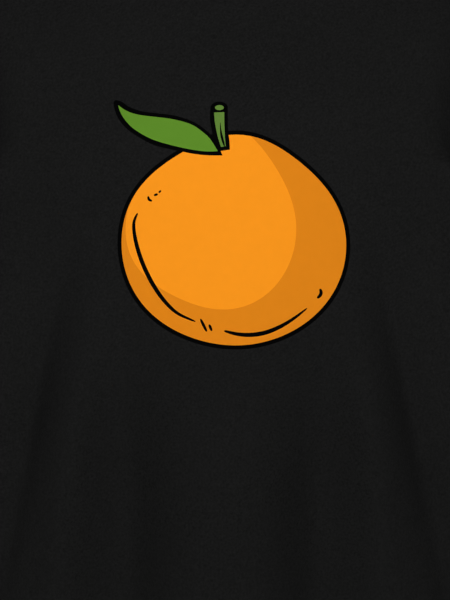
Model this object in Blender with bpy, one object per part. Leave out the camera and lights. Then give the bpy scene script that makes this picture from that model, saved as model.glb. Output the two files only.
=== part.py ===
"""Black crew-neck T-shirt in its worn shape, with a cartoon fruit print on the chest.

Metres, +Z up, the front faces -Y, the wearer's left is +X. The origin is the middle of the
neck opening at the height where the shoulder seams meet the neck.
"""
import math

import bmesh
import bpy
from mathutils import Vector

# ---- cloth -------------------------------------------------------------------------------
CLOTH = 0.0008          # jersey thickness
SEAM_GAP = 0.0006       # clear distance between front and back at a seam
ROUNDNESS = 2.4         # superellipse power of the body's cross-section

# ---- body: height, half width, depth in front, depth behind, from the hem to the underarm --
Z_HEM, Z_UNDERARM = -0.715, -0.235
STATIONS = (
    (Z_HEM, 0.2140, 0.1240, 0.1160),
    (-0.595, 0.2080, 0.1170, 0.1070),
    (-0.475, 0.2055, 0.1165, 0.1010),
    (-0.355, 0.2080, 0.1230, 0.1030),
    (Z_UNDERARM, 0.2120, 0.1230, 0.1110),
)
SHOULDER_WIDEN = 0.023  # how much the cross-section widens from the underarm to the shoulder
FRONT_RISE, BACK_RISE = 1.6, 2.1   # powers that curve the chest and the back over the shoulder
RISE_ROOT = 0.62
BALL_REACH, BALL_POWER, BALL_ROOT = 0.215, 0.8, 0.10   # the shoulder is rounder towards the arm
SHOULDER_SHIFT = 0.010  # the shoulder seam lies this far behind the side seam

# ---- shoulder, armhole and neckline ---------------------------------------------------------
NECK_HALF = 0.088       # half width of the neckline seam
SHOULDER_PEAK, SHOULDER_SLOPE, SHOULDER_SOFT = 0.0345, 0.3602, 0.040
FRONT_DROP, BACK_DROP, NECK_POWER = 0.098, 0.020, 1.95
ARMHOLE_CUT, ARMHOLE_START, ARMHOLE_FLARE = 0.45, 0.12, 0.175

# ---- sleeves ----------------------------------------------------------------------------------
ARM_ANGLE = math.radians(49)       # below horizontal
UNDERARM_SEAM = 0.078
CUFF_HALF_HIGH, CUFF_HALF_DEEP = 0.052, 0.062
SLEEVE_GAP = 0.0012

# ---- collar -------------------------------------------------------------------------------------
RIB_WIDTH, RIB_THICK = 0.019, 0.0016
RIB_LEAN, RIB_SIDE_LEAN = 0.52, 0.45   # inward lean per unit of rise, and more at the sides
RIB_GAP = 0.0020
TAPE_WIDTH, TAPE_THICK = 0.009, 0.0007

# ---- print --------------------------------------------------------------------------------------
INK_LIFT, INK_THICK, INK_GAP, LINE_WIDTH = 0.0004, 0.0003, 0.0004, 0.0030
FRUIT_CENTRE = (0.0086, -0.2909)
FRUIT_WAVES = ((0, 0.0812, 0), (1, 0.0002, -0.0022), (2, 0.0026, 0), (3, 0, -0.0019), (4, 0.0009, 0))
LIGHT_CENTRE = (-0.0088, -0.2792)
LIGHT_WAVES = ((0, 0.0666, 0), (1, -0.0007, 0.0065), (2, -0.0030, -0.0038), (3, 0, -0.0012))
LEAF_TOP = ((-0.0740, -0.1925), (-0.0590, -0.1985), (-0.0375, -0.2015), (-0.0190, -0.2080), (-0.0075, -0.2175))
LEAF_BASE = ((-0.0705, -0.2020), (-0.0560, -0.2145), (-0.0375, -0.2215), (-0.0190, -0.2240), (-0.0085, -0.2225))
STEM_LEFT = ((-0.0075, -0.1955), (-0.0055, -0.2055), (-0.0035, -0.2150), (-0.0022, -0.2075 - 0.0090))
STEM_RIGHT = ((0.0030, -0.1940), (0.0032, -0.2040), (0.0036, -0.2105), (0.0042, -0.2145))


def clear_scene():
    for obj in list(bpy.data.objects):
        bpy.data.objects.remove(obj, do_unlink=True)


def make_material(name, colour, roughness):
    mat = bpy.data.materials.new(name)
    mat.use_nodes = True
    shader = mat.node_tree.nodes["Principled BSDF"]
    shader.inputs["Base Color"].default_value = (*colour, 1.0)
    shader.inputs["Roughness"].default_value = roughness
    mat.diffuse_color = (*colour, 1.0)
    return mat


def smooth_curve(points, t):
    """Catmull-Rom through evenly spaced points, t from 0 to 1; each point is a tuple."""
    last = len(points) - 1
    k = min(int(max(t, 0.0) * last), last - 1)
    f = t * last - k
    p = [points[min(max(k + d, 0), last)] for d in (-1, 0, 1, 2)]
    out = []
    for a, b, c, d in zip(*p):
        out.append(b + 0.5 * f * (c - a + f * (2 * a - 5 * b + 4 * c - d + f * (3 * (b - c) + d - a))))
    return out


# ---- the body's surface ---------------------------------------------------------------------

def shoulder_height(x):
    return SHOULDER_PEAK - SHOULDER_SLOPE * math.hypot(x, SHOULDER_SOFT)


def half_width(level):
    return smooth_curve(STATIONS, min(level, 1.0))[1] + SHOULDER_WIDEN * max(level - 1.0, 0.0)


def section(side, level, x):
    """Depth and centre of the cross-section at x; level 0 hem, 1 underarm, 2 shoulder."""
    deep = smooth_curve(STATIONS, min(level, 1.0))[2 if side < 0 else 3]
    if level <= 1.0:
        return deep, 0.0
    rise = level - 1.0
    ball = min(abs(x) / BALL_REACH, 1.0) ** 2
    power = (FRONT_RISE if side < 0 else BACK_RISE) + BALL_POWER * ball
    deep *= max(1.0 - rise ** power, 0.0) ** (RISE_ROOT - BALL_ROOT * ball)
    return deep, SHOULDER_SHIFT * rise * rise


def height(x, level):
    if level <= 1.0:
        return Z_HEM + (Z_UNDERARM - Z_HEM) * level
    return Z_UNDERARM + (shoulder_height(x) - Z_UNDERARM) * (level - 1.0)


def edge_share(level):
    """How far round from the centre line a panel reaches: 1 at the side seam, less in the armhole."""
    if level <= 1.0:
        return 1.0
    rise = level - 1.0
    cut = 1.0 - math.exp(-((rise / ARMHOLE_START) ** 0.65))
    return 1.0 - ARMHOLE_CUT * cut + ARMHOLE_FLARE * rise * rise


def body_point(side, across, level, lift=0.0):
    """A point on the front (side -1) or back (+1), across from -1 to 1."""
    angle = across * edge_share(level) * math.pi / 2
    x = half_width(level) * math.copysign(abs(math.sin(angle)) ** (2 / ROUNDNESS), angle)
    deep, middle = section(side, level, x)
    y = deep * max(math.cos(angle), 0.0) ** (2 / ROUNDNESS)
    return Vector((x, middle + side * (y + SEAM_GAP / 2 + lift), height(x, level)))


def neckline_height(side, x):
    drop = FRONT_DROP if side < 0 else BACK_DROP
    top = shoulder_height(NECK_HALF)
    inside = max(1.0 - (abs(x) / NECK_HALF) ** NECK_POWER, 0.0)
    return top - (drop + top) * inside ** (1 / NECK_POWER)


def top_level(side, across):
    """The level at which a panel column ends: the shoulder seam, or the neckline."""
    low, high = 1.0, 2.0
    if abs(body_point(side, across, high).x) >= NECK_HALF:
        return high
    for _ in range(40):
        mid = (low + high) / 2
        p = body_point(side, across, mid)
        if p.z > neckline_height(side, p.x):
            high = mid
        else:
            low = mid
    return low


def neck_across(side):
    """The column that ends at the neck point."""
    low, high = 0.0, 1.0
    for _ in range(40):
        mid = (low + high) / 2
        if body_point(side, mid, 2.0).x > NECK_HALF:
            high = mid
        else:
            low = mid
    return low


# ---- mesh helpers ------------------------------------------------------------------------------

def mapped_grid(columns, rows, place, wrap=False):
    """A grid whose vertices are placed by place(s, t), both 0 to 1."""
    bm = bmesh.new()
    bmesh.ops.create_grid(bm, x_segments=columns, y_segments=rows, size=0.5)
    for v in bm.verts:
        v.co = place(v.co.x + 0.5, v.co.y + 0.5)
    if wrap:
        bmesh.ops.remove_doubles(bm, verts=bm.verts, dist=1e-6)
    return bm


def finish(name, bm, thickness, material, outward):
    """Turn an open surface into a closed sheet whose thickness goes to the inside."""
    bm.normal_update()
    face = max(bm.faces, key=lambda f: f.calc_area())
    if face.normal.dot(outward(face.calc_center_median())) < 0:
        bmesh.ops.reverse_faces(bm, faces=bm.faces)
    bm.normal_update()
    mesh = bpy.data.meshes.new(name)
    bm.to_mesh(mesh)
    bm.free()
    obj = bpy.data.objects.new(name, mesh)
    bpy.context.scene.collection.objects.link(obj)
    mesh.materials.append(material)
    solid = obj.modifiers.new("thickness", "SOLIDIFY")
    solid.thickness = thickness
    solid.offset = -1.0
    solid.use_even_offset = True
    solid.use_quality_normals = True
    return obj


# ---- garment pieces ------------------------------------------------------------------------------

def make_panel(name, side, material, columns=34, low_rows=9, high_rows=10):
    neck = neck_across(side)
    rows = low_rows + high_rows
    neck_share = 9 / 17

    def place(s, t):
        half = 2 * s - 1
        reach = abs(half)
        if reach < neck_share:
            across = neck * math.sin(reach / neck_share * math.pi / 2)
        else:
            across = neck + (1 - neck) * (reach - neck_share) / (1 - neck_share)
        across = math.copysign(across, half)
        step = t * rows
        if step <= low_rows:
            level = step / low_rows
        else:
            rise = math.sin((step - low_rows) / high_rows * math.pi / 2)
            level = 1 + (top_level(side, across) - 1) * rise
        return body_point(side, across, level)

    bm = mapped_grid(columns, rows, place)
    return finish(name, bm, CLOTH, material, lambda p: Vector((0, side, 0)))


def armhole_loop(hand, steps=120):
    """Points round the armhole from the shoulder down the front and up the back, and their lengths."""
    path = [body_point(-1, 1, 2 - k / steps) for k in range(steps + 1)]
    path += [body_point(1, 1, 1 + k / steps) for k in range(steps + 1)]
    path = [Vector((hand * p.x, p.y, p.z)) for p in path]
    path[0] = path[-1] = (path[0] + path[-1]) / 2
    half = len(path) // 2
    lengths = [0.0]
    for a, b in zip(path, path[1:]):
        lengths.append(lengths[-1] + (b - a).length)
    front, whole = lengths[half - 1], lengths[-1]
    share = [0.5 * d / front if d <= front else 0.5 + 0.5 * (d - front) / (whole - front) for d in lengths]
    return path, share


def loop_point(path, share, s):
    for k in range(1, len(share)):
        if share[k] >= s:
            span = share[k] - share[k - 1]
            return path[k - 1].lerp(path[k], (s - share[k - 1]) / span if span > 0 else 0.0)
    return path[-1].copy()


def make_sleeve(name, hand, material, columns=26, rows=8):
    path, share = armhole_loop(hand)
    arm = Vector((hand * math.cos(ARM_ANGLE), 0, -math.sin(ARM_ANGLE)))
    upward = Vector((hand * math.sin(ARM_ANGLE), 0, math.cos(ARM_ANGLE)))
    under = loop_point(path, share, 0.5)
    centre = under + arm * UNDERARM_SEAM + upward * CUFF_HALF_HIGH
    shoulder_way = Vector((hand * 0.94, 0, -0.34))

    def place(s, t):
        turn = 2 * math.pi * s
        start = loop_point(path, share, s)
        end = centre + upward * (CUFF_HALF_HIGH * math.cos(turn)) - Vector((0, CUFF_HALF_DEEP * math.sin(turn), 0))
        high = (1 + math.cos(turn)) / 2
        leave = (shoulder_way * high + arm * (1 - high) + Vector((0, -0.10 * math.sin(turn), 0))).normalized()
        start = start + leave * SLEEVE_GAP
        reach = (end - start).length
        a, b = leave * reach, arm * reach
        return (start * (2 * t ** 3 - 3 * t ** 2 + 1) + a * (t ** 3 - 2 * t ** 2 + t)
                + end * (3 * t ** 2 - 2 * t ** 3) + b * (t ** 3 - t ** 2))

    bm = mapped_grid(columns, rows, place, wrap=True)
    axis = centre - arm * 0.05
    return finish(name, bm, CLOTH, material, lambda p: (p - axis) - arm * (p - axis).dot(arm))


def neckline_point(turn):
    """A point on the neckline seam; turn 0 at the left neck point, a quarter turn at the front."""
    x = NECK_HALF * math.copysign(abs(math.cos(turn)) ** 1.0, math.cos(turn))
    side = -1 if math.sin(turn) >= 0 else 1
    z = neckline_height(side, x)
    rise = min(max((z - Z_UNDERARM) / (shoulder_height(x) - Z_UNDERARM), 0.0), 1.0)
    deep, middle = section(side, 1 + rise, x)
    y = deep * max(1 - (abs(x) / half_width(1 + rise)) ** ROUNDNESS, 0.0) ** (1 / ROUNDNESS)
    return Vector((x, middle + side * y, z))


def neck_frame(turn):
    """The seam point, the way the collar stands up from it, and the side that faces the neck."""
    p = neckline_point(turn)
    along = (neckline_point(turn + 0.25) - neckline_point(turn - 0.25)).normalized()
    inward = Vector((-p.x, SHOULDER_SHIFT - p.y, 0)).normalized()
    way = inward * (RIB_LEAN + RIB_SIDE_LEAN * math.cos(turn) ** 2) + Vector((0, 0, 1))
    way = (way - along * way.dot(along)).normalized()
    inner = along.cross(way)
    if inner.dot(inward) < 0:
        inner.negate()
    return p, way, inner


def make_rib(material, columns=60, rows=2):
    def place(s, t):
        p, way, _ = neck_frame(2 * math.pi * s)
        return p + way * (RIB_GAP + t * RIB_WIDTH)

    bm = mapped_grid(columns, rows, place, wrap=True)
    return finish("neck_rib", bm, RIB_THICK, material, lambda p: Vector((p.x, p.y - SHOULDER_SHIFT, 0)))


def make_tape(material, columns=24):
    def place(s, t):
        p, way, inner = neck_frame(-math.pi * (0.04 + 0.92 * s))
        return p + way * (RIB_GAP + 0.0005 + t * TAPE_WIDTH) + inner * (RIB_THICK + 0.0006)

    bm = mapped_grid(columns, 1, place)
    return finish("neck_tape", bm, TAPE_THICK, material, lambda p: Vector((p.x, p.y - SHOULDER_SHIFT, 0)))


# ---- print ------------------------------------------------------------------------------------

def chest(x, z, lift):
    """A point over the front panel, lift above its outer face."""
    def depth(px, pz):
        if pz <= Z_UNDERARM:
            level = (pz - Z_HEM) / (Z_UNDERARM - Z_HEM)
        else:
            level = 1 + (pz - Z_UNDERARM) / (shoulder_height(px) - Z_UNDERARM)
        deep, middle = section(-1, level, px)
        round_off = (1 - (abs(px) / half_width(level)) ** ROUNDNESS) ** (1 / ROUNDNESS)
        return middle - deep * round_off - SEAM_GAP / 2

    e = 0.002
    y = depth(x, z)
    normal = Vector((depth(x + e, z) - depth(x - e, z), -2 * e, depth(x, z + e) - depth(x, z - e)))
    return Vector((x, y, z)) + normal.normalized() * lift


def wavy_radius(waves, angle):
    return sum(c * math.cos(k * angle) + s * math.sin(k * angle) for k, c, s in waves)


def fruit_reach(angle):
    """Distance from the light patch's centre to the fruit's edge, in a direction."""
    low, high = 0.0, 0.15
    for _ in range(30):
        mid = (low + high) / 2
        x = LIGHT_CENTRE[0] + mid * math.cos(angle) - FRUIT_CENTRE[0]
        z = LIGHT_CENTRE[1] + mid * math.sin(angle) - FRUIT_CENTRE[1]
        if math.hypot(x, z) < wavy_radius(FRUIT_WAVES, math.atan2(z, x)):
            low = mid
        else:
            high = mid
    return low


def make_ink(name, columns, rows, flat_point, material, wrap=False, layer=0):
    """An ink film: flat_point(s, t) gives its x and z on the chest; layer 1 is printed over layer 0."""
    def place(s, t):
        x, z = flat_point(s, t)
        return chest(x, z, (INK_LIFT + INK_THICK) * (layer + 1))

    bm = mapped_grid(columns, rows, place, wrap)
    return finish(name, bm, INK_THICK, material, lambda p: Vector((0, -1, 0)))


def polar(centre, angle, radius):
    return centre[0] + radius * math.cos(angle), centre[1] + radius * math.sin(angle)


def make_print(light, shade, leaf, stem, line):
    room = LINE_WIDTH + INK_GAP

    def light_point(s, t):
        angle = 2 * math.pi * s
        edge = min(wavy_radius(LIGHT_WAVES, angle), fruit_reach(angle) - room)
        return polar(LIGHT_CENTRE, angle, 0.0005 + (edge - 0.0005) * t)

    def full_light_point(s, t):
        return light_point(s, t) if t > 0 else LIGHT_CENTRE

    make_ink("ink_orange", 32, 4, full_light_point, light, wrap=True)

    angles = [math.radians(k) for k in range(-200, 120)]
    wide = [a for a in angles if fruit_reach(a) - room - wavy_radius(LIGHT_WAVES, a) > 0.0012]
    first, last = wide[0], wide[-1]

    def shade_point(s, t):
        angle = first + (last - first) * s
        inner = wavy_radius(LIGHT_WAVES, angle) + INK_GAP
        return polar(LIGHT_CENTRE, angle, inner + (fruit_reach(angle) - room - inner) * t)

    make_ink("ink_dark_orange", 28, 2, shade_point, shade)

    def fruit_line_point(s, t):
        angle = 2 * math.pi * s
        edge = wavy_radius(FRUIT_WAVES, angle)
        return polar(FRUIT_CENTRE, angle, edge - LINE_WIDTH * (1 - t))

    make_ink("ink_black", 60, 1, fruit_line_point, line, wrap=True)

    def blend(left, right):
        def flat_point(s, t):
            a, b = smooth_curve(left, s), smooth_curve(right, s)
            return a[0] + (b[0] - a[0]) * t, a[1] + (b[1] - a[1]) * t
        return flat_point

    make_ink("ink_leaf_green", 12, 3, blend(LEAF_TOP, LEAF_BASE), leaf, layer=1)
    make_ink("ink_stem_green", 6, 2, blend(STEM_LEFT, STEM_RIGHT), stem, layer=1)


def main():
    clear_scene()
    jersey = make_material("black_jersey", (0.010, 0.010, 0.010), 0.92)
    rib = make_material("black_rib_knit", (0.010, 0.010, 0.010), 0.92)
    tape = make_material("black_neck_tape", (0.012, 0.012, 0.012), 0.85)
    light = make_material("orange_ink", (0.930, 0.296, 0.012), 0.55)
    shade = make_material("dark_orange_ink", (0.694, 0.216, 0.009), 0.55)
    leaf = make_material("leaf_green_ink", (0.100, 0.238, 0.021), 0.55)
    stem = make_material("stem_green_ink", (0.150, 0.280, 0.036), 0.55)
    line = make_material("black_ink", (0.002, 0.002, 0.002), 0.55)

    make_panel("front_panel", -1, jersey)
    make_panel("back_panel", 1, jersey)
    make_sleeve("left_sleeve", 1, jersey)
    make_sleeve("right_sleeve", -1, jersey)
    make_rib(rib)
    make_tape(tape)
    make_print(light, shade, leaf, stem, line)


main()
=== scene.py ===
"""Looks of the black T-shirt: jersey with its folds, turned hems, rib collar, stitches and chest print.

Metres, +Z up, the front faces -Y. The origin is the middle of the neck opening.
"""

import bisect
import math

import bmesh
import bpy
from mathutils import Matrix, Vector, noise
from mathutils.bvhtree import BVHTree


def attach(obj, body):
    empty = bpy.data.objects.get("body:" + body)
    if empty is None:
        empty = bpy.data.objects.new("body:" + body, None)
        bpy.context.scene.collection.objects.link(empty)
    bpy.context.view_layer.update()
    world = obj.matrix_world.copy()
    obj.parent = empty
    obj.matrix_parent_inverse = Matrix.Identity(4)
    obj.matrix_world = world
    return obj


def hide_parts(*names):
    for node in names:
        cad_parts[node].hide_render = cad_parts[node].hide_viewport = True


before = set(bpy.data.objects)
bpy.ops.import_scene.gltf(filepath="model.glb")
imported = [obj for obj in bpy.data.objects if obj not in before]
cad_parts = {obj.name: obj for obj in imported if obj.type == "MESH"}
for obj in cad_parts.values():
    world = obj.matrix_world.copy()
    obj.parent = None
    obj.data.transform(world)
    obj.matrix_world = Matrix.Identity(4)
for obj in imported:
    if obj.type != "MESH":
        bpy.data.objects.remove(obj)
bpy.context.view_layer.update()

# ---- the garment's form, as in the CAD -----------------------------------------------------------
CLOTH = 0.0007
ROUNDNESS = 2.4
Z_HEM, Z_UNDERARM = -0.715, -0.235
STATIONS = (  # height, half width, depth in front, depth behind
    (Z_HEM, 0.2140, 0.1240, 0.1160),
    (-0.595, 0.2080, 0.1170, 0.1070),
    (-0.475, 0.2055, 0.1165, 0.1010),
    (-0.355, 0.2080, 0.1230, 0.1030),
    (Z_UNDERARM, 0.2120, 0.1230, 0.1110),
)
SHOULDER_WIDEN, SHOULDER_SHIFT = 0.023, 0.010
FRONT_RISE, BACK_RISE, RISE_ROOT = 1.6, 2.1, 0.62
BALL_REACH, BALL_POWER, BALL_ROOT = 0.215, 0.8, 0.10
NECK_HALF, FRONT_DROP, BACK_DROP, NECK_POWER = 0.088, 0.098, 0.020, 1.95
SHOULDER_PEAK, SHOULDER_SLOPE, SHOULDER_SOFT = 0.0345, 0.3602, 0.040
ARMHOLE_CUT, ARMHOLE_START, ARMHOLE_POWER, ARMHOLE_FLARE = 0.45, 0.12, 0.65, 0.175
ARM_ANGLE, UNDERARM_SEAM = math.radians(49), 0.078
CUFF_HALF_HIGH, CUFF_HALF_DEEP = 0.052, 0.062
RIB_LEAN, RIB_SIDE_LEAN = 0.52, 0.45

# ---- hems ----------------------------------------------------------------------------------------
# Mesh rows as (height above the hem's edge, depth inside the cloth): the turned part, then the outer face.
HEM_TURN = ((0.0220, 0.0018), (0.0150, 0.0017), (0.0070, 0.0016), (0.0020, 0.0014), (0.0004, 0.0008))
HEM_FACE = (0.0015, 0.0060, 0.0105, 0.0128, 0.0139, 0.0150, 0.0161, 0.0177, 0.0194, 0.0205, 0.0216,
            0.0228, 0.0240, 0.0265)
HEM_ROWS = HEM_TURN + tuple((rise, 0.0) for rise in HEM_FACE)
ABOVE_HEM = 0.0300               # the first plain row above a hem
HEM_BAND = 0.0228                # height of the turned hem
NEEDLE_ROWS = (0.0150, 0.0205)   # twin-needle rows above the edge
NEEDLE_PULL = 0.0012             # half width of the groove along a needle row
SEAM_ALLOWANCE = 0.005


def smooth_curve(points, t):
    """Catmull-Rom through evenly spaced points, t from 0 to 1; each point is a tuple."""
    last = len(points) - 1
    k = min(int(max(t, 0.0) * last), last - 1)
    f = t * last - k
    p = [points[min(max(k + d, 0), last)] for d in (-1, 0, 1, 2)]
    return [b + 0.5 * f * (c - a + f * (2 * a - 5 * b + 4 * c - d + f * (3 * (b - c) + d - a)))
            for a, b, c, d in zip(*p)]


def smoothstep(low, high, v):
    t = min(max((v - low) / (high - low), 0.0), 1.0)
    return t * t * (3 - 2 * t)


def hem_level(rise):
    """The level of a height above the body's hem."""
    return rise / (Z_UNDERARM - Z_HEM)


def shoulder_height(x):
    return SHOULDER_PEAK - SHOULDER_SLOPE * math.hypot(x, SHOULDER_SOFT)


def half_width(level):
    return smooth_curve(STATIONS, min(level, 1.0))[1] + SHOULDER_WIDEN * max(level - 1.0, 0.0)


def section(side, level, x):
    deep = smooth_curve(STATIONS, min(level, 1.0))[2 if side < 0 else 3]
    if level <= 1.0:
        return deep, 0.0
    rise = level - 1.0
    ball = min(abs(x) / BALL_REACH, 1.0) ** 2
    power = (FRONT_RISE if side < 0 else BACK_RISE) + BALL_POWER * ball
    deep *= max(1.0 - rise ** power, 0.0) ** (RISE_ROOT - BALL_ROOT * ball)
    return deep, SHOULDER_SHIFT * rise * rise


def height(x, level):
    if level <= 1.0:
        return Z_HEM + (Z_UNDERARM - Z_HEM) * level
    return Z_UNDERARM + (shoulder_height(x) - Z_UNDERARM) * (level - 1.0)


def edge_share(level):
    if level <= 1.0:
        return 1.0
    rise = level - 1.0
    cut = 1.0 - math.exp(-((rise / ARMHOLE_START) ** ARMHOLE_POWER))
    return 1.0 - ARMHOLE_CUT * cut + ARMHOLE_FLARE * rise * rise


def body_point(side, across, level):
    """A point of the smooth form on the front (side -1) or back (+1), across from -1 to 1."""
    angle = across * edge_share(level) * math.pi / 2
    x = half_width(level) * math.copysign(abs(math.sin(angle)) ** (2 / ROUNDNESS), angle)
    deep, middle = section(side, level, x)
    return Vector((x, middle + side * deep * max(math.cos(angle), 0.0) ** (2 / ROUNDNESS), height(x, level)))


def neckline_height(side, x):
    drop = FRONT_DROP if side < 0 else BACK_DROP
    top = shoulder_height(NECK_HALF)
    inside = max(1.0 - (abs(x) / NECK_HALF) ** NECK_POWER, 0.0)
    return top - (drop + top) * inside ** (1 / NECK_POWER)


def search(test, low, high):
    """The value between low and high at which test turns from true to false."""
    for _ in range(34):
        mid = (low + high) / 2
        low, high = (mid, high) if test(mid) else (low, mid)
    return low


def neckline_spot(side, share):
    """Where a panel's column ends on the neckline, as (across, level).

    share runs from 0 in the middle to 1 at the neck point.
    """
    x = NECK_HALF * math.sin(share * math.pi / 2)
    z = neckline_height(side, x)
    level = 1 + (z - Z_UNDERARM) / (shoulder_height(x) - Z_UNDERARM)
    return search(lambda across: body_point(side, across, level).x <= x, 0.0, 1.0), level


# ---- cloth lengths and folds ---------------------------------------------------------------------
ARC_STEPS, ARC_DEPTH = 240, 0.57   # the body's depth as a share of its half width
arc_ratio, arc_length = [0.0], [0.0]
for step in range(1, ARC_STEPS + 1):
    turn, last_turn = (k / ARC_STEPS * math.pi / 2 for k in (step, step - 1))
    here, before = ((math.sin(a) ** (2 / ROUNDNESS), ARC_DEPTH * max(math.cos(a), 0) ** (2 / ROUNDNESS))
                    for a in (turn, last_turn))
    arc_ratio.append(here[0])
    arc_length.append(arc_length[-1] + math.dist(here, before))


def girth(x, level):
    """Cloth length round the body from the centre line to x, signed like x."""
    wide = half_width(level)
    ratio = min(abs(x) / wide, 1.0)
    k = min(max(bisect.bisect_left(arc_ratio, ratio), 1), ARC_STEPS)
    f = (ratio - arc_ratio[k - 1]) / max(arc_ratio[k] - arc_ratio[k - 1], 1e-9)
    return math.copysign(wide * (arc_length[k - 1] + f * (arc_length[k] - arc_length[k - 1])), x)


def front_folds():
    """Folds as (x, z) at the start and the end, bow, height, half widths, and how round the crest is."""
    folds = []
    for hand in (-1, 1):
        folds += [
            # the step that leaves the chest: a ridge inside, a valley outside
            ((hand * 0.113, -0.295), (hand * 0.201, -0.730), hand * 0.006, -0.0120, 0.012, 0.024, 0.95),
            ((hand * 0.090, -0.320), (hand * 0.152, -0.730), hand * 0.003, 0.0080, 0.013, 0.026, 0.95),
            # the hollow between that ridge and the middle
            ((hand * 0.072, -0.365), (hand * 0.082, -0.760), hand * 0.001, -0.0190, 0.025, 0.034, 1.0),
            # cloth standing off beside the chest, its outer ridge and a narrow crease beside it
            ((hand * 0.173, -0.060), (hand * 0.182, -0.600), hand * 0.004, 0.0135, 0.034, 0.036, 1.0),
            ((hand * 0.146, -0.265), (hand * 0.205, -0.600), hand * 0.004, 0.0050, 0.014, 0.018, 1.0),
            ((hand * 0.150, -0.335), (hand * 0.178, -0.480), hand * 0.004, -0.0018, 0.004, 0.007, 0.8),
            # folds that turn round the side
            ((hand * 0.203, -0.300), (hand * 0.209, -0.730), 0.0, -0.0050, 0.010, 0.016, 1.0),
            # drag lines from the underarm to the chest
            ((hand * 0.162, -0.165), (hand * 0.202, -0.262), hand * 0.004, -0.0026, 0.006, 0.011, 0.9),
            ((hand * 0.145, -0.215), (hand * 0.200, -0.300), hand * 0.002, 0.0020, 0.008, 0.011, 1.0),
        ]
    folds.append(((0.001, -0.375), (-0.001, -0.760), 0.0, 0.0100, 0.038, 0.048, 1.3))
    return folds


def back_folds():
    folds = []
    for hand, skew in ((-1, 0.006), (1, -0.003)):
        folds += [
            ((hand * 0.095 + skew, -0.170), (hand * 0.118, -0.730), hand * 0.010, -0.0085, 0.014, 0.024, 0.9),
            ((hand * 0.050 + skew, -0.300), (hand * 0.064 + skew, -0.730), 0.004, 0.0080, 0.016, 0.026, 0.9),
            ((hand * 0.155, -0.255), (hand * 0.180 + skew, -0.730), hand * 0.004, 0.0085, 0.012, 0.024, 0.9),
            ((hand * 0.185, -0.235), (hand * 0.198, -0.690), 0.0, -0.0070, 0.010, 0.018, 0.9),
            ((hand * 0.120, -0.120), (hand * 0.190, -0.270), hand * 0.006, -0.0042, 0.007, 0.014, 0.9),
            ((hand * 0.060, -0.395 + skew), (hand * 0.165, -0.470), hand * 0.004, -0.0028, 0.008, 0.013, 0.9),
        ]
    folds.append(((0.008, -0.330), (-0.006, -0.730), 0.006, -0.0090, 0.016, 0.028, 0.9))
    return folds


def in_cloth(folds):
    """The same folds with their ends as cloth lengths round the body instead of x."""
    out = []
    for (x0, z0), (x1, z1), *rest in folds:
        ends = [girth(x, hem_level(z - Z_HEM)) for x, z in ((x0, z0), (x1, z1))]
        out.append((ends[0], z0, ends[1], z1, *rest))
    return out


FOLDS = {-1: in_cloth(front_folds()), 1: in_cloth(back_folds())}
HANG_WHOLE, HANG_MIDDLE = 0.014, 0.010


def fold_sum(folds, a, z):
    total = 0.0
    for a0, z0, a1, z1, bow, high, w0, w1, crest in folds:
        t = (z0 - z) / (z0 - z1)
        if -0.12 < t < 1.12:
            fade = smoothstep(-0.10, 0.32, t) * (1 - smoothstep(0.86, 1.12, t))
            q = (a - a0 - (a1 - a0) * t - bow * 4 * t * (1 - t)) / (w0 + (w1 - w0) * t)
            if abs(q) < 4.0:
                total += high * fade * math.exp(-((q * q + 0.004) ** crest))
    return total


def side_seam_wave(hand, z):
    """How far the side seam leans out or in, shared by both panels."""
    drop = smoothstep(Z_UNDERARM - 0.02, Z_UNDERARM - 0.18, z)
    return drop * (0.0035 * math.sin(19 * z + 0.9 * hand) + 0.0015 * math.sin(43 * z - 1.3 * hand))


def hem_profile(rise, along, share=1.0):
    """The turned hem stands proud by a layer, its needle rows pull in, and the feed leaves faint puckers."""
    band = 1 - smoothstep(HEM_BAND - NEEDLE_PULL, HEM_BAND + NEEDLE_PULL, rise)
    grooves = sum(math.exp(-((rise - row) / NEEDLE_PULL) ** 2) for row in NEEDLE_ROWS)
    pucker = noise.noise(Vector((along * 150, 0.0, rise * 20))) * math.exp(-((rise - 0.017) / 0.012) ** 2)
    return 0.0009 * band - 0.0006 * grooves + 0.0009 * pucker * share


def seam_share(across, level):
    """0 in the middle of a panel, 1 along its side seam and armhole, with no jump at the underarm."""
    reach = 1 - ARMHOLE_CUT * smoothstep(0.80, 1.12, level) + ARMHOLE_FLARE * max(level - 1, 0.0) ** 2
    return smoothstep(0.74 * reach, reach, abs(across) * edge_share(level))


def front_hang(a, z):
    """Below the chest the front hangs further in, most of all in the middle."""
    middle = 1 - smoothstep(0.10, 0.17, abs(a))
    return -HANG_WHOLE * smoothstep(0.38, 0.62, -z) - HANG_MIDDLE * middle * smoothstep(0.40, 0.70, -z)


def relief(side, across, level, p):
    """How far the cloth stands off the smooth form."""
    a = girth(p.x, level)
    soft = noise.noise(Vector((a * 11, p.z * 7, 3.1 * side))) * (0.0010 if side < 0 else 0.0020)
    fine = noise.noise(Vector((a * 34, p.z * 15, 7.7 * side))) * 0.0005
    calm = 1 - smoothstep(1.25, 1.7, level)
    hang = front_hang(a, p.z) if side < 0 else 0.0
    inner = fold_sum(FOLDS[side], a, p.z) + (soft + fine) * calm + hang
    edge = seam_share(across, level)
    return (inner * (1 - edge) + edge * side_seam_wave(math.copysign(1, across), p.z)
            + hem_profile(p.z - Z_HEM, a))


def skin(side, across, level, lift=0.0):
    """A point on the cloth's outer face, with its outward direction."""
    p = body_point(side, across, level)
    nudge = 0.003
    along = body_point(side, across + nudge, level) - body_point(side, across - nudge, level)
    up = body_point(side, across, min(level + nudge, 2.0)) - body_point(side, across, level - nudge)
    out = along.cross(up).normalized() * -side
    if out.y * side < -0.2:
        out.negate()
    return p + out * (relief(side, across, level, p) + lift), out


# ---- materials -----------------------------------------------------------------------------------

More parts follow.
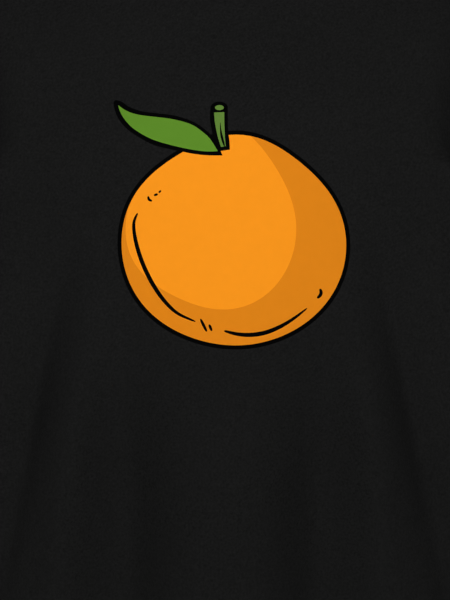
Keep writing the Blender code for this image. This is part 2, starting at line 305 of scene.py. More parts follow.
WALE, COURSE = 0.00075, 0.0006   # width and height of a jersey loop
MATH, NOISE = "ShaderNodeMath", "ShaderNodeTexNoise"


def linear(code):
    """A #rrggbb colour as linear light."""
    parts = [int(code[k:k + 2], 16) / 255 for k in (1, 3, 5)]
    return tuple(c / 12.92 if c <= 0.04045 else ((c + 0.055) / 1.055) ** 2.4 for c in parts) + (1.0,)


def add(mat, kind, inputs=None, **settings):
    """Adds a node. inputs maps a socket to a value, to a node's first output, or to (node, output)."""
    node = mat.node_tree.nodes.new(kind)
    for key, value in settings.items():
        setattr(node, key, value)
    for key, value in (inputs or {}).items():
        if isinstance(value, bpy.types.Node):
            value = (value, 0)
        if isinstance(value, tuple) and isinstance(value[0], bpy.types.Node):
            mat.node_tree.links.new(value[0].outputs[value[1]], node.inputs[key])
        else:
            node.inputs[key].default_value = value
    return node


def new_material(name):
    mat = bpy.data.materials.new(name)
    mat.use_nodes = True
    mat.node_tree.nodes.clear()
    return mat


def finish_material(mat, code, shade, height, strength, depth, roughness, specular):
    """One shader with the colour times shade, and height as a bump of that strength and depth."""
    bump = add(mat, "ShaderNodeBump", {"Height": height, "Strength": strength, "Distance": depth})
    colour = add(mat, "ShaderNodeVectorMath", {0: linear(code)[:3], "Scale": shade}, operation="SCALE")
    shader = add(mat, "ShaderNodeBsdfPrincipled", {
        "Base Color": colour, "Roughness": roughness, "Normal": bump, "Specular IOR Level": specular})
    add(mat, "ShaderNodeOutputMaterial", {"Surface": shader})
    return mat


def knit_height(mat, across, along):
    """Single jersey's face: columns of V-shaped loops, 0 to 1."""
    wales = add(mat, MATH, {0: across, 1: WALE}, operation="DIVIDE")
    place = add(mat, MATH, {0: wales}, operation="FRACT")
    offset = add(mat, MATH, {0: place, 1: 0.5}, operation="SUBTRACT")
    column = add(mat, MATH, {0: offset}, operation="ABSOLUTE")
    turn = add(mat, MATH, {0: column, 1: 2 * math.pi}, operation="MULTIPLY")
    legs = add(mat, MATH, {0: turn}, operation="SINE")
    courses = add(mat, MATH, {0: along, 1: COURSE}, operation="DIVIDE")
    slant = add(mat, MATH, {0: column, 1: 1.2, 2: courses}, operation="MULTIPLY_ADD")
    turn = add(mat, MATH, {0: slant, 1: 2 * math.pi}, operation="MULTIPLY")
    loops = add(mat, MATH, {0: turn}, operation="COSINE")
    crowns = add(mat, MATH, {0: loops, 1: 0.35, 2: 0.65}, operation="MULTIPLY_ADD")
    return add(mat, MATH, {0: legs, 1: crowns}, operation="MULTIPLY")


def jersey_material(name, code, rib_pitch=None):
    """Reactive-dyed cotton single jersey, or rib knit: fine loops with painted shade between them, a faint
    dye mottle and short fibres.
    """
    mat = new_material(name)
    uv = add(mat, "ShaderNodeUVMap", uv_map="cloth")
    parts = add(mat, "ShaderNodeSeparateXYZ", {0: uv})
    place = (add(mat, "ShaderNodeTexCoord"), "Object")
    # loops: wales 0.75 mm apart and courses 0.6 mm, which break the light into fine grain
    loops = knit_height(mat, (parts, 0), (parts, 1))
    # fibres: the haze of loose ends, under half a millimetre
    fibres = add(mat, NOISE, {"Vector": place, "Scale": 2600.0, "Detail": 2.0})
    haze = add(mat, MATH, {0: fibres, 1: 0.8}, operation="MULTIPLY")
    height = add(mat, MATH, {0: loops, 1: 0.12, 2: haze}, operation="MULTIPLY_ADD")
    depth = 0.00016
    if rib_pitch:
        # rib: knit columns stand up with a groove between each pair
        turn = add(mat, MATH, {0: (parts, 0), 1: 2 * math.pi / rib_pitch}, operation="MULTIPLY")
        rib = add(mat, MATH, {0: turn}, operation="COSINE")
        height = add(mat, MATH, {0: rib, 1: 1.6, 2: height}, operation="MULTIPLY_ADD")
        depth = 0.0003
    # mottle: uneven yarn, about 1.5 mm across, and a slow drift over a hand's width
    grain = add(mat, NOISE, {"Vector": place, "Scale": 640.0, "Detail": 2.0})
    drift = add(mat, NOISE, {"Vector": place, "Scale": 14.0, "Detail": 2.0})
    # painted shade: the colour darkens between the knit loops and their courses, following the loop height
    # that also drives the bump
    shade = add(mat, MATH, {0: loops, 1: 0.4, 2: 0.14}, operation="MULTIPLY_ADD")
    shade = add(mat, MATH, {0: drift, 1: 0.14, 2: shade}, operation="MULTIPLY_ADD")
    shade = add(mat, MATH, {0: grain, 1: 1.05, 2: shade}, operation="MULTIPLY_ADD")
    return finish_material(mat, code, shade, height, 0.8, depth, 0.95, 0.0)


def thread_material(name, code):
    """Core-spun polyester sewing thread: twisted plies with a little more lustre than the cotton."""
    mat = new_material(name)
    place = (add(mat, "ShaderNodeTexCoord"), "Object")
    # plies: a turn of twist about every half millimetre
    twist = add(mat, "ShaderNodeTexWave", {"Vector": place, "Scale": 830.0, "Distortion": 1.5},
                bands_direction="DIAGONAL")
    plies = (twist, 1)
    # painted shade: the colour darkens in the grooves between the plies, following the twist bands that also
    # drive the bump
    shade = add(mat, MATH, {0: plies, 1: 0.3, 2: 0.85}, operation="MULTIPLY_ADD")
    return finish_material(mat, code, shade, plies, 0.5, 0.00006, 0.6, 0.12)


def ink_material(name, code):
    """Screen-print ink laid on jersey: flat colour, the loops faintly telegraphed, a soft dull film."""
    mat = new_material(name)
    place = (add(mat, "ShaderNodeTexCoord"), "Object")
    parts = add(mat, "ShaderNodeSeparateXYZ", {0: place})
    # the knit shows through the film as a fine, shallow weave, with pores about a millimetre apart
    loops = knit_height(mat, (parts, 0), (parts, 2))
    pores = add(mat, NOISE, {"Vector": place, "Scale": 900.0, "Detail": 2.0})
    pits = add(mat, MATH, {0: pores, 1: 0.5}, operation="MULTIPLY")
    height = add(mat, MATH, {0: loops, 1: 0.5, 2: pits}, operation="MULTIPLY_ADD")
    # coverage varies by a percent or two from one squeegee pass
    coverage = add(mat, NOISE, {"Vector": place, "Scale": 160.0, "Detail": 2.0})
    shade = add(mat, MATH, {0: coverage, 1: 0.05, 2: 0.975}, operation="MULTIPLY_ADD")
    return finish_material(mat, code, shade, height, 0.35, 0.00008, 0.75, 0.03)


# ---- meshes --------------------------------------------------------------------------------------

def to_object(name, bm, material, node=None, thickness=None):
    for face in bm.faces:
        face.smooth = True
    mesh = bpy.data.meshes.new(name)
    bm.to_mesh(mesh)
    bm.free()
    mesh.materials.append(material)
    obj = bpy.data.objects.new(name, mesh)
    bpy.context.scene.collection.objects.link(obj)
    if thickness:
        solid = obj.modifiers.new("thickness", "SOLIDIFY")
        solid.thickness = thickness
        solid.offset = -1.0
        obj.data = bpy.data.meshes.new_from_object(obj.evaluated_get(bpy.context.evaluated_depsgraph_get()))
        obj.modifiers.clear()
        obj.data.set_sharp_from_angle(angle=math.radians(50))
    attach(obj, "root")
    if node:
        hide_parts(node)
    return obj


def laid_grid(columns, rows, point):
    """A sheet with its corners at point(i, j); gives the mesh and each vertex's (i, j)."""
    bm = bmesh.new()
    bmesh.ops.create_grid(bm, x_segments=columns, y_segments=rows, size=0.5)
    bm.loops.layers.uv.new("cloth")
    cell = {v: (round((v.co.x + 0.5) * columns), round((v.co.y + 0.5) * rows)) for v in bm.verts}
    for v, key in cell.items():
        v.co = point(*key)
    return bm, cell


def set_uv(bm, cell, lengths):
    """Writes the cloth lengths that lengths(i, j) gives as UV."""
    uv = bm.loops.layers.uv["cloth"]
    spots = {v: lengths(*key) for v, key in cell.items()}
    for face in bm.faces:
        for loop in face.loops:
            loop[uv].uv = spots[loop.vert]


def cloth_grid(columns, rows, point, length_across, outward, wrap=False, keep_open=()):
    """A sheet from point(i, j), with cloth lengths as UV and its raw edges turned in as seam allowance.

    keep_open lists the rows whose end edge is not a seam.
    """
    bm, cell = laid_grid(columns, rows, point)
    by_cell = {key: v for v, key in cell.items()}
    climb = {}
    for i in range(columns + 1):
        climb[i, 0] = 0.0
        for j in range(rows):
            climb[i, j + 1] = climb[i, j] + (by_cell[i, j + 1].co - by_cell[i, j].co).length
    set_uv(bm, cell, lambda i, j: (length_across(i, j), climb[i, j]))
    open_rows = {by_cell[i, j] for i in range(columns + 1) for j in keep_open}
    if wrap:
        seam = [by_cell[i, j] for j in range(rows + 1) for i in (0, columns)]
        bmesh.ops.remove_doubles(bm, verts=seam, dist=1e-5)
        open_rows = {v for v in open_rows if v.is_valid}
    bm.normal_update()
    middle = by_cell[columns // 2, rows // 2]
    if middle.normal.dot(outward) < 0:
        bmesh.ops.reverse_faces(bm, faces=bm.faces)
        bm.normal_update()
    raw = [e for e in bm.edges if e.is_boundary and not open_rows.issuperset(e.verts)]
    normals = {tuple(v.co): v.normal.copy() for e in raw for v in e.verts}
    made = bmesh.ops.extrude_edge_only(bm, edges=raw)["geom"]
    for v in made:
        if isinstance(v, bmesh.types.BMVert):
            v.co -= normals[tuple(v.co)] * SEAM_ALLOWANCE
    # the operator's own order varies from run to run, so everything is put in order of place
    way = Vector((1.0, 0.618, 0.337))
    bm.verts.sort(key=lambda v: v.co.dot(way))
    bm.edges.sort(key=lambda e: (e.verts[0].co + e.verts[1].co).dot(way))
    bm.faces.sort(key=lambda f: f.calc_center_median().dot(way))
    bm.normal_update()
    return bm


# ---- body panels ---------------------------------------------------------------------------------
COLUMNS, LOW_ROWS, HIGH_ROWS = 176, 98, 56
NECK_SHARE = 0.46                # share of a panel's columns that end on the neckline
NECK_SPREAD = 0.03               # how much wider those columns stand below the chest
NECK_BEND = 8                    # how late the columns bend to the neckline


def make_panel(name, side, material):
    neck = neckline_spot(side, 1.0)[0]
    below_neck = neck + NECK_SPREAD
    hem_rows = len(HEM_ROWS)
    rows = hem_rows + LOW_ROWS + HIGH_ROWS
    spots, tops = {}, {}

    def column(i):
        """The column's place low down, and its place and level at the top, where it bends to the neckline."""
        reach = abs(2 * i / COLUMNS - 1)
        if reach < NECK_SHARE:
            low_place = below_neck * math.sin(reach / NECK_SHARE * math.pi / 2)
            return low_place, *neckline_spot(side, reach / NECK_SHARE)
        share = (reach - NECK_SHARE) / (1 - NECK_SHARE)
        return below_neck + (1 - below_neck) * share, neck + (1 - neck) * share, 2.0

    def point(i, j):
        if i not in tops:
            tops[i] = column(i)
        across, high_across, high_level = tops[i]
        depth = 0.0
        if j < hem_rows:
            rise, depth = HEM_ROWS[j]
            level = hem_level(rise)
        elif j <= hem_rows + LOW_ROWS:
            start = hem_level(ABOVE_HEM)
            level = start + (1 - start) * (j - hem_rows) / LOW_ROWS
        else:
            step = math.sin((j - hem_rows - LOW_ROWS) / HIGH_ROWS * math.pi / 2)
            level = 1 + (high_level - 1) * step
            across += (high_across - across) * step ** NECK_BEND
        across = math.copysign(across, 2 * i - COLUMNS)
        p, _ = skin(side, across, level, -depth)
        spots[i, j] = (body_point(side, across, level).x, level)
        return p

    bm = cloth_grid(COLUMNS, rows, point, lambda i, j: girth(*spots[i, j]), Vector((0, side, 0)),
                    keep_open=range(len(HEM_TURN) + 1))
    return to_object(name, bm, material, name, CLOTH)


# ---- sleeves -------------------------------------------------------------------------------------
SLEEVE_COLUMNS, SLEEVE_ROWS = 132, 60
ARM_ROUND, ARM_LENGTH = 0.40, 0.20
CUFF_RISE = 0.155 / 0.85         # sleeve length that the whole share along stands for near the cuff
SLEEVE_FOLD_DEPTH = 1.5          # the folds below, deepened by this much
SLEEVE_FOLDS = (  # cloth length round from the top, minus length from the shoulder, at start and end
    (0.165, -0.005, 0.105, -0.150, 0.006, -0.0048, 0.007, 0.013, 0.9),
    (0.140, -0.004, 0.062, -0.100, 0.004, 0.0030, 0.008, 0.014, 0.9),
    (0.186, -0.020, 0.150, -0.190, 0.008, 0.0042, 0.008, 0.014, 0.9),
    (0.118, -0.002, 0.030, -0.070, 0.000, -0.0026, 0.006, 0.012, 0.9),
    (-0.160, -0.004, -0.100, -0.165, -0.010, -0.0050, 0.007, 0.014, 0.9),
    (-0.132, -0.002, -0.050, -0.120, -0.004, 0.0034, 0.008, 0.015, 0.9),
    (-0.184, -0.018, -0.146, -0.200, -0.004, 0.0040, 0.008, 0.013, 0.9),
    (-0.075, -0.060, -0.030, -0.200, 0.004, -0.0030, 0.010, 0.016, 0.9),
    (0.020, -0.085, 0.045, -0.200, 0.004, 0.0030, 0.012, 0.018, 0.9),
)


def armhole(hand):
    """The armhole from the underarm up the front and down the back, evenly spaced by length."""
    steps = 150
    path = [body_point(-1, 1, 1 + (k / steps) ** 1.6) for k in range(steps + 1)]
    path += [body_point(1, 1, 2 - k / steps) for k in range(steps)]
    path = [Vector((hand * p.x, p.y, p.z)) for p in path] + [Vector((hand * path[0].x, path[0].y, path[0].z))]
    lengths = [0.0]
    for a, b in zip(path, path[1:]):
        lengths.append(lengths[-1] + (b - a).length)
    front, whole = lengths[steps], lengths[-1]
    share = [0.5 * d / front if d <= front else 0.5 + 0.5 * (d - front) / (whole - front) for d in lengths]

    def at(s):
        k = min(max(bisect.bisect_left(share, s), 1), len(path) - 1)
        return path[k - 1].lerp(path[k], (s - share[k - 1]) / max(share[k] - share[k - 1], 1e-9))
    return at


def sleeve_surface(hand):
    """The sleeve's smooth form as a function of the share round from the underarm and the share along."""
    at = armhole(hand)
    arm = Vector((hand * math.cos(ARM_ANGLE), 0, -math.sin(ARM_ANGLE)))
    upward = Vector((hand * math.sin(ARM_ANGLE), 0, math.cos(ARM_ANGLE)))
    centre = at(0.0) + arm * UNDERARM_SEAM + upward * CUFF_HALF_HIGH
    shoulder_way = Vector((hand * 0.94, 0, -0.34))

    def form(s, t):
        turn = 2 * math.pi * s
        end = (centre - upward * (CUFF_HALF_HIGH * math.cos(turn))
               - Vector((0, CUFF_HALF_DEEP * math.sin(turn), 0)))
        high = (1 - math.cos(turn)) / 2
        leave = (shoulder_way * high + arm * (1 - high) - Vector((0, 0.10 * math.sin(turn), 0))).normalized()
        start = at(s % 1.0 if s != 1.0 else 1.0)
        reach = (end - start).length
        return (start * (2 * t ** 3 - 3 * t ** 2 + 1) + leave * (reach * (t ** 3 - 2 * t ** 2 + t))
                + end * (3 * t ** 2 - 2 * t ** 3) + arm * (reach * (t ** 3 - t ** 2)))

    def surface(s, t, lift=0.0):
        p = form(s, t)
        nudge = 0.004
        along = form((s + nudge) % 1.0, t) - form((s - nudge) % 1.0, t)
        out = along.cross(form(s, t + nudge) - form(s, t - nudge)).normalized() * hand
        if out.dot(p - centre + arm * (arm.dot(centre - p))) < 0:
            out.negate()
        around = (s - 0.5) * ARM_ROUND
        fade = smoothstep(0.0, 0.12, t) * smoothstep(0.0, 0.03, min(s, 1 - s) + 0.004)
        turn = 2 * math.pi * s
        soft = noise.noise(Vector((math.cos(turn) * 1.2, math.sin(turn) * 1.2, t * 2 + hand * 5)))
        folds = SLEEVE_FOLD_DEPTH * fold_sum(SLEEVE_FOLDS, around * hand, -t * ARM_LENGTH)
        stand = folds + soft * 0.0022 * t
        hem = hem_profile((1 - t) * CUFF_RISE, around + hand, smoothstep(0.0, 0.04, min(s, 1 - s)))
        return p + out * (stand * fade + hem + lift), out
    return surface


def make_sleeve(name, hand, material):
    surface = sleeve_surface(hand)
    hem_rows = len(HEM_ROWS)
    rows = hem_rows + SLEEVE_ROWS

    def point(i, j):
        s = i / SLEEVE_COLUMNS
        if j < hem_rows:
            rise, depth = HEM_ROWS[j]
            t = 1 - rise / CUFF_RISE
        else:
            t, depth = (1 - ABOVE_HEM / CUFF_RISE) * (1 - (j - hem_rows) / SLEEVE_ROWS), 0.0
        return surface(s, t, -depth)[0]

    bm = cloth_grid(SLEEVE_COLUMNS, rows, point, lambda i, j: i / SLEEVE_COLUMNS * ARM_ROUND,
                    surface(0.5, 0.5)[1], wrap=True, keep_open=(0,))
    return to_object(name, bm, material, name, CLOTH)


# ---- collar and tape -----------------------------------------------------------------------------
RIB_MIDDLE, RIB_HALF = 0.0098, 0.0108        # up the collar from its seam: the middle and half the height
RIB_INSIDE, RIB_THICK = 0.0004, 0.0012       # towards the neck: the middle and half the thickness
RIB_LENGTH, RIB_STRIP = 0.54, 0.042          # the strip before it is folded double
TAPE_LENGTH, TAPE_WIDE = 0.21, 0.010


def neckline_point(turn):
    """A point on the neckline seam; turn 0 at the left neck point, a quarter turn at the front."""
    x = NECK_HALF * math.cos(turn)
    side = -1 if math.sin(turn) >= 0 else 1
    z = neckline_height(side, x)
    rise = min(max((z - Z_UNDERARM) / (shoulder_height(x) - Z_UNDERARM), 0.0), 1.0)
    deep, middle = section(side, 1 + rise, x)
    return Vector((x, middle + side * deep * max(1 - (abs(x) / half_width(1 + rise)) ** ROUNDNESS, 0.0)
                   ** (1 / ROUNDNESS), z))


def neck_frame(turn):
    """The seam point, the way the collar stands up from it, and the side that faces the neck."""
    p = neckline_point(turn)
    along = (neckline_point(turn + 0.25) - neckline_point(turn - 0.25)).normalized()
    inward = Vector((-p.x, SHOULDER_SHIFT - p.y, 0)).normalized()
    way = inward * (RIB_LEAN + RIB_SIDE_LEAN * math.cos(turn) ** 2) + Vector((0, 0, 1))
    way = (way - along * way.dot(along)).normalized()
    inner = along.cross(way)
    if inner.dot(inward) < 0:
        inner.negate()
    return p, way, inner


def make_rib(material):
    """The collar: rib folded double, so its section is a flat loop with a round top edge."""
    columns, rows = 240, 28

    def point(i, j):
        p, way, inner = neck_frame(2 * math.pi * i / columns)
        q = 2 * math.pi * j / rows
        rise = RIB_MIDDLE - RIB_HALF * math.copysign(abs(math.cos(q)) ** 0.55, math.cos(q))
        deep = RIB_INSIDE - RIB_THICK * math.copysign(abs(math.sin(q)) ** 0.5, math.sin(q))
        return p + way * rise + inner * deep

    bm, cell = laid_grid(columns, rows, point)
    set_uv(bm, cell, lambda i, j: (i / columns * RIB_LENGTH, j / rows * RIB_STRIP))
    bmesh.ops.remove_doubles(bm, verts=bm.verts, dist=1e-6)
    bmesh.ops.recalc_face_normals(bm, faces=bm.faces)
    return to_object("neck_rib", bm, material, "neck_rib")


def make_tape(material):
    """A strip of jersey tape over the back neck seam."""
    columns, rows = 120, 6

    def point(i, j):
        p, way, inner = neck_frame(-math.pi * (0.03 + 0.94 * i / columns))
        crown = 0.0003 * math.sin(math.pi * j / rows)
        return p + way * (0.0004 + TAPE_WIDE * j / rows) + inner * (0.0025 + crown)

    bm, cell = laid_grid(columns, rows, point)
    set_uv(bm, cell, lambda i, j: (j / rows * TAPE_WIDE, i / columns * TAPE_LENGTH))
    bm.normal_update()
    face = max(bm.faces, key=lambda f: f.calc_center_median().y)
    if face.normal.y > 0:
        bmesh.ops.reverse_faces(bm, faces=bm.faces)
    return to_object("neck_tape", bm, material, "neck_tape", 0.0006)


# ---- stitches ------------------------------------------------------------------------------------
STITCH_PITCH, THREAD_RADIUS = 0.0030, 0.00030
COLLAR_ROWS = (0.0035, 0.0085)   # twin-needle rows outside the collar seam
PAST_CLOTH = 0.0012              # a step through the cloth to its outer face
ON_CLOTH = 0.00005               # thread stands this far off the cloth


def stitch_rows(name, runs, material):
    """Lockstitches: short thread lengths laid end to end along each run of (point, outward) pairs."""
    bm = bmesh.new()
    for run in runs:
        lengths = [0.0]
        for (a, _), (b, _) in zip(run, run[1:]):
            lengths.append(lengths[-1] + (b - a).length)
        count = int(lengths[-1] / STITCH_PITCH)
        for k in range(count):
            spots = []
            for part in (0.08, 0.92):
                d = (k + part) * lengths[-1] / count
                i = min(max(bisect.bisect_left(lengths, d), 1), len(run) - 1)
                f = (d - lengths[i - 1]) / max(lengths[i] - lengths[i - 1], 1e-9)
                spots.append((run[i - 1][0].lerp(run[i][0], f), run[i - 1][1].lerp(run[i][1], f)))
            (a, out), (b, _) = spots
            along = (b - a).normalized()
            beside = along.cross(out).normalized()
            out = beside.cross(along)
            half = along * (b - a).length / 2
            place = Matrix((half, beside * THREAD_RADIUS, out * THREAD_RADIUS * 0.8)).transposed().to_4x4()
            place.translation = (a + b) / 2 + out * THREAD_RADIUS * 0.35
            bmesh.ops.create_icosphere(bm, subdivisions=1, radius=1.0, matrix=place)
    return to_object(name, bm, material)


def hem_runs():
    runs = []
    for side in (-1, 1):
        for rise in NEEDLE_ROWS:
            runs.append([skin(side, -1 + 2 * k / 240, hem_level(rise)) for k in range(241)])
    return runs


def cuff_runs():
    runs = []
    for hand in (-1, 1):
        surface = sleeve_surface(hand)
        for rise in NEEDLE_ROWS:
            runs.append([surface(k / 140, 1 - rise / CUFF_RISE) for k in range(141)])
    return runs


def neck_runs():
    """A twin row just outside the collar seam, on the body cloth."""
    runs = []
    for side in (-1, 1):
        for away in COLLAR_ROWS:
            run = []
            for k in range(181):
                p = neckline_point(-side * math.pi * (0.004 + 0.992 * k / 180))
                outward = Vector((p.x, p.y - SHOULDER_SHIFT, 0)).normalized()
                run.append(nearest(side, p + outward * away * 0.7 - Vector((0, 0, away * 0.7))))
            runs.append(run)
    return runs


def nearest(side, p):
    """The closest point on a body panel, with its outward direction."""
    hit, normal, _, _ = TREES[side].find_nearest(p)
    if normal.dot(Vector((p.x, p.y - SHOULDER_SHIFT, 0.06))) < 0:
        # the inner face was nearer: step through the cloth to the outer one
        hit, normal, _, _ = TREES[side].find_nearest(hit - normal * PAST_CLOTH)
    return hit + normal * ON_CLOTH, normal


# ---- print ---------------------------------------------------------------------------------------
FILM = 0.00006                   # thickness of an ink film
# how far each film's outer face stands off the cloth
FILL_LIFT, SHADE_LIFT, LINE_LIFT, OUTLINE_LIFT, GREEN_LIFT, GRAIN_LIFT = (
    0.00012, 0.00018, 0.00024, 0.00030, 0.00037, 0.00044)
# Centres in metres, and a radius as (waves round, cosine part, sine part).
FRUIT_CENTRE, FRUIT_LINE = (0.0086, -0.2909), 0.00295
FRUIT_WAVES = ((0, 0.08190, 0), (1, 0, -0.00185), (2, 0.00285, -0.00020), (3, -0.00017, -0.00135),
               (4, 0.00081, -0.00025), (5, 0.00028, 0.00047), (6, -0.00028, 0.00003))
LIGHT_CENTRE = (-0.0088, -0.2792)
LIGHT_WAVES = ((0, 0.06562, 0), (1, 0.00062, 0.00548), (2, -0.00398, -0.00244), (3, 0.00004, -0.00312),
               (4, 0.00083, 0.00125))
# Outlines in millimetres from the garment's centre line and from the neck, across then down.
LEAF_OUTER = (((-78.2, 188.0), (-73.8, 189.2), (-68.0, 193.2), (-58.5, 196.5), (-47.3, 198.0), (-36.8, 199.3),
               (-27.7, 201.7), (-19.3, 205.2), (-12.3, 210.1), (-6.0, 216.4), (-0.9, 225.7)),
              ((-79.6, 189.3), (-79.1, 193.8), (-76.0, 201.8), (-69.4, 209.5), (-60.2, 215.9), (-50.4, 221.0),
               (-39.2, 224.1), (-30.0, 226.0), (-20.7, 227.8), (-10.9, 228.9), (0.3, 229.0)))
LEAF_INNER = (((-76.3, 191.7), (-71.9, 194.9), (-66.3, 197.6), (-58.6, 199.4), (-47.3, 200.8), (-37.5, 202.1),
               (-29.1, 204.0), (-21.7, 206.6), (-15.1, 211.0), (-8.8, 216.8), (-3.2, 225.7)),
              ((-76.2, 191.9), (-75.0, 196.1), (-71.9, 201.7), (-66.3, 208.0), (-58.6, 213.3), (-50.1, 217.5),
               (-40.3, 220.6), (-29.8, 223.2), (-19.3, 225.2), (-10.9, 226.1), (-3.1, 225.9)))
STEM_OUTER = (((-8.3, 192.6), (-8.8, 201.7), (-7.5, 210.1), (-5.6, 218.5), (-2.4, 226.0)),
              ((4.2, 192.6), (4.2, 201.7), (4.4, 210.8), (5.4, 217.8), (5.8, 224.7)))
STEM_INNER = (((-5.8, 197.4), (-5.3, 203.8), (-4.2, 210.1), (-2.8, 216.4), (-0.7, 222.8)),
              ((1.6, 197.1), (1.7, 203.8), (1.9, 210.1), (2.2, 216.4), (2.7, 222.2)))
STEM_GRAIN = ((-1.2, 204.6), (-1.0, 209.4), (-0.5, 213.6), (0.5, 217.8), (1.9, 222.6))
LONG_STROKE = ((-61.9, 271.2), (-64.6, 278.4), (-63.8, 288.8), (-60.4, 301.9), (-55.1, 315.0), (-48.6, 326.8),
               (-40.7, 337.3), (-31.8, 345.1), (-19.4, 350.7))
LOW_STROKE = ((1.5, 357.5), (11.4, 359.9), (21.8, 360.4), (32.3, 358.6), (42.8, 354.3), (52.6, 348.4),
              (62.4, 340.9))
SMALL_MARKS = (  # path, widest
    (((-54.0, 258.8), (-53.5, 261.2), (-51.2, 262.3)), 1.8),
    (((-49.9, 258.2), (-47.1, 257.3)), 1.7),
    (((-46.3, 256.3), (-44.7, 254.6)), 1.3),
    (((-15.8, 348.6), (-13.5, 353.4), (-11.1, 358.1)), 2.1),
    (((-9.4, 352.8), (-8.4, 355.3), (-7.4, 357.6)), 2.0),
    (((71.8, 326.6), (72.7, 329.2), (71.9, 331.6), (69.7, 333.6)), 2.5),
)


def wavy_radius(waves, angle):
    return sum(c * math.cos(k * angle) + s * math.sin(k * angle) for k, c, s in waves)


def polar(centre, angle, radius):
    return centre[0] + radius * math.cos(angle), centre[1] + radius * math.sin(angle)


def fruit_reach(angle):
    """Distance from the light patch's centre to the middle of the fruit's line."""
    def inside(radius):
        x, z = polar(LIGHT_CENTRE, angle, radius)
        x, z = x - FRUIT_CENTRE[0], z - FRUIT_CENTRE[1]
        return math.hypot(x, z) < wavy_radius(FRUIT_WAVES, math.atan2(z, x)) - FRUIT_LINE / 2
    return search(inside, 0.0, 0.15)


def on_chest(x, z, lift):
    hit, normal, _, _ = TREES[-1].ray_cast(Vector((x, -1, z)), Vector((0, 1, 0)))
    return hit + normal * lift


def ink_patch(bm, columns, rows, flat_point, lift):
    """Lays a patch on the chest; flat_point(s, t) gives its x and z."""
    made = bmesh.ops.create_grid(bm, x_segments=columns, y_segments=rows, size=0.5)["verts"]
    for v in made:
        v.co = on_chest(*flat_point(v.co.x + 0.5, v.co.y + 0.5), lift)
    bmesh.ops.remove_doubles(bm, verts=made, dist=2e-6)


def between(pair):
    def flat_point(s, t):
        a, b = (smooth_curve(line, s) for line in pair)
        return (a[0] + (b[0] - a[0]) * t) / 1000, -(a[1] + (b[1] - a[1]) * t) / 1000
    return flat_point


def ellipse(cx, cz, half_wide, half_high):
    def flat_point(s, t):
        angle = 2 * math.pi * s
        return (cx + half_wide * t * math.cos(angle)) / 1000, -(cz - half_high * t * math.sin(angle)) / 1000
    return flat_point


def stroke(path, widest, blunt=0.4, lean=1.0):
    """A brush stroke that thins out towards its ends; a lean over 1 puts the widest part later."""
    def flat_point(s, t):
        x, z = smooth_curve(path, s)
        ax, az = smooth_curve(path, min(s + 0.01, 1.0))
        bx, bz = smooth_curve(path, max(s - 0.01, 0.0))
        along = Vector((ax - bx, az - bz)).normalized()
        swell = max(math.sin(math.pi * min(max(s, 0.0), 1.0) ** lean), 0.0) ** blunt
        off = widest * (swell + 0.04) * (t - 0.5)
        return (x - along.y * off) / 1000, -(z + along.x * off) / 1000
    return flat_point


def make_print():
    def film(name, material, patches):
        bm = bmesh.new()
        for columns, rows, flat_point, lift in patches:
            ink_patch(bm, columns, rows, flat_point, lift)
        bm.normal_update()
        bmesh.ops.reverse_faces(bm, faces=[f for f in bm.faces if f.normal.y > 0])
        return to_object(name, bm, material, name, FILM)

    def fruit_fill(s, t):
        angle = 2 * math.pi * s
        return polar(FRUIT_CENTRE, angle, (wavy_radius(FRUIT_WAVES, angle) - FRUIT_LINE / 2) * t)

    angles = [math.radians(k / 4) for k in range(-800, 480)]
    wide = [a for a in angles if fruit_reach(a) > wavy_radius(LIGHT_WAVES, a)]

    def shade_fill(s, t):
        angle = wide[0] + (wide[-1] - wide[0]) * s
        inner = wavy_radius(LIGHT_WAVES, angle)
        return polar(LIGHT_CENTRE, angle, inner + max(fruit_reach(angle) - inner, 0.0) * t)

    def fruit_line(s, t):
        angle = 2 * math.pi * s
        return polar(FRUIT_CENTRE, angle, wavy_radius(FRUIT_WAVES, angle) - FRUIT_LINE * t)

    film("ink_orange", ink_material("plastisol_orange", "#f7941b"),
         [(160, 40, fruit_fill, FILL_LIFT)])
    film("ink_dark_orange", ink_material("plastisol_dark_orange", "#dc8116"),
         [(160, 20, shade_fill, SHADE_LIFT)])
    film("ink_black", ink_material("plastisol_black", "#000000"), [
        (240, 3, fruit_line, LINE_LIFT),
        (70, 14, between(LEAF_OUTER), OUTLINE_LIFT),
        (34, 8, between(STEM_OUTER), OUTLINE_LIFT),
        (48, 8, ellipse(-2.05, 193.6, 6.25, 4.2), OUTLINE_LIFT),
        (16, 2, stroke(STEM_GRAIN, 1.7, 0.5, 1.8), GRAIN_LIFT),
        (90, 2, stroke(LONG_STROKE, 3.05, 0.38), LINE_LIFT),
        (70, 2, stroke(LOW_STROKE, 3.1, 0.45, 0.8), LINE_LIFT),
        *[(12, 2, stroke(path, wide_mm), LINE_LIFT) for path, wide_mm in SMALL_MARKS],
    ])
    film("ink_leaf_green", ink_material("plastisol_leaf_green", "#5a8728"),
         [(70, 14, between(LEAF_INNER), GREEN_LIFT)])
    film("ink_stem_green", ink_material("plastisol_stem_green", "#5c7e35"),
         [(30, 8, between(STEM_INNER), GREEN_LIFT), (40, 6, ellipse(-1.9, 193.8, 3.2, 1.85), GREEN_LIFT)])


# ---- build ---------------------------------------------------------------------------------------
jersey = jersey_material("cotton_single_jersey_black", "#1b1b1b")
rib_knit = jersey_material("cotton_rib_knit_black", "#1b1b1b", rib_pitch=0.0018)
tape_knit = jersey_material("cotton_neck_tape_black", "#1c1c1c")
thread = thread_material("polyester_thread_black", "#1d1d1d")

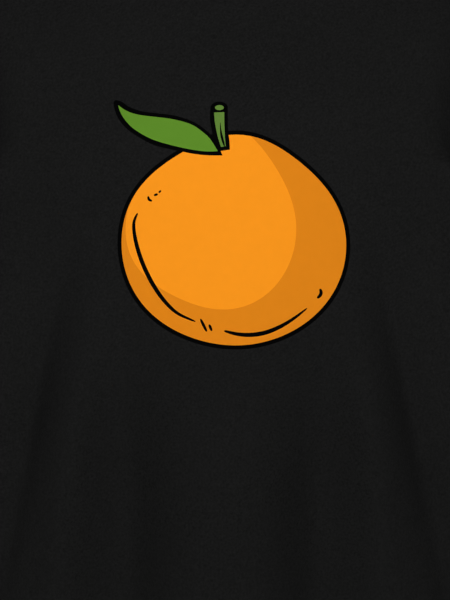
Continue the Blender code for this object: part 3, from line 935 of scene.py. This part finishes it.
panels = {-1: make_panel("front_panel", -1, jersey), 1: make_panel("back_panel", 1, jersey)}
bpy.context.view_layer.update()
graph = bpy.context.evaluated_depsgraph_get()
TREES = {side: BVHTree.FromObject(panels[side], graph) for side in panels}
sleeves = [make_sleeve(name, hand, jersey) for name, hand in (("left_sleeve", 1), ("right_sleeve", -1))]
rib = make_rib(rib_knit)
tape = make_tape(tape_knit)
stitch_rows("hem_stitches", hem_runs(), thread)
stitch_rows("cuff_stitches", cuff_runs(), thread)
stitch_rows("neck_stitches", neck_runs(), thread)
make_print()

# ---- floor, light and camera ---------------------------------------------------------------------
FLOOR_RADIUS, FLOOR_LEVEL, AIM_LEVEL = 14.0, -1.05, -0.35

bm = bmesh.new()
bmesh.ops.create_circle(bm, cap_ends=True, segments=96, radius=FLOOR_RADIUS)
bmesh.ops.translate(bm, verts=bm.verts, vec=(0, 0, FLOOR_LEVEL))
floor_mat = new_material("matte_studio_floor")
floor_shader = add(floor_mat, "ShaderNodeBsdfPrincipled",
                   {"Base Color": linear("#d2d2d0"), "Roughness": 0.9, "Specular IOR Level": 0.1})
add(floor_mat, "ShaderNodeOutputMaterial", {"Surface": floor_shader})
floor_mesh = bpy.data.meshes.new("floor")
bm.to_mesh(floor_mesh)
bm.free()
floor_mesh.materials.append(floor_mat)
floor = bpy.data.objects.new("floor", floor_mesh)
bpy.context.scene.collection.objects.link(floor)

world = bpy.data.worlds.new("studio")
world.use_nodes = True
backdrop = world.node_tree.nodes["Background"]
backdrop.inputs["Color"].default_value = (1.0, 1.0, 1.0, 1.0)
backdrop.inputs["Strength"].default_value = 0.15
bpy.context.scene.world = world


def softbox(name, place, size, power):
    """A square lamp that faces the middle of the garment."""
    data = bpy.data.lights.new(name, "AREA")
    data.shape, data.size, data.energy = "SQUARE", size, power
    lamp = bpy.data.objects.new(name, data)
    lamp.location = place
    lamp.rotation_mode = "QUATERNION"
    lamp.rotation_quaternion = (Vector(place) - Vector((0, 0, AIM_LEVEL))).to_track_quat("Z", "Y")
    lamp.visible_camera = False
    bpy.context.scene.collection.objects.link(lamp)


softbox("key", (0.0, -1.40, 0.03), 0.5, 13.5)
softbox("overhead", (0.0, 0.3, 3.2), 2.5, 14)
softbox("left_side", (2.2, 1.0, 0.5), 1.2, 30)
softbox("right_side", (-2.2, 1.0, 0.3), 1.2, 30)
softbox("back", (-0.9, 2.3, 0.7), 1.2, 55)

scene = bpy.context.scene
scene.view_settings.view_transform = "Standard"
CHEST_DEPTH, DISTANCE, VIEW_HIGH = -0.121, 2.4, 0.4398
VIEW_X, VIEW_Z, SENSOR = 0.0022, -0.3349, 36.0
camera_data = bpy.data.cameras.new("camera")
camera_data.sensor_width = SENSOR
camera_data.lens = SENSOR * DISTANCE / VIEW_HIGH
camera = bpy.data.objects.new("camera", camera_data)
camera.location = (VIEW_X, CHEST_DEPTH - DISTANCE, VIEW_Z)
camera.rotation_euler = (math.pi / 2, 0, 0)
scene.collection.objects.link(camera)
scene.camera = camera
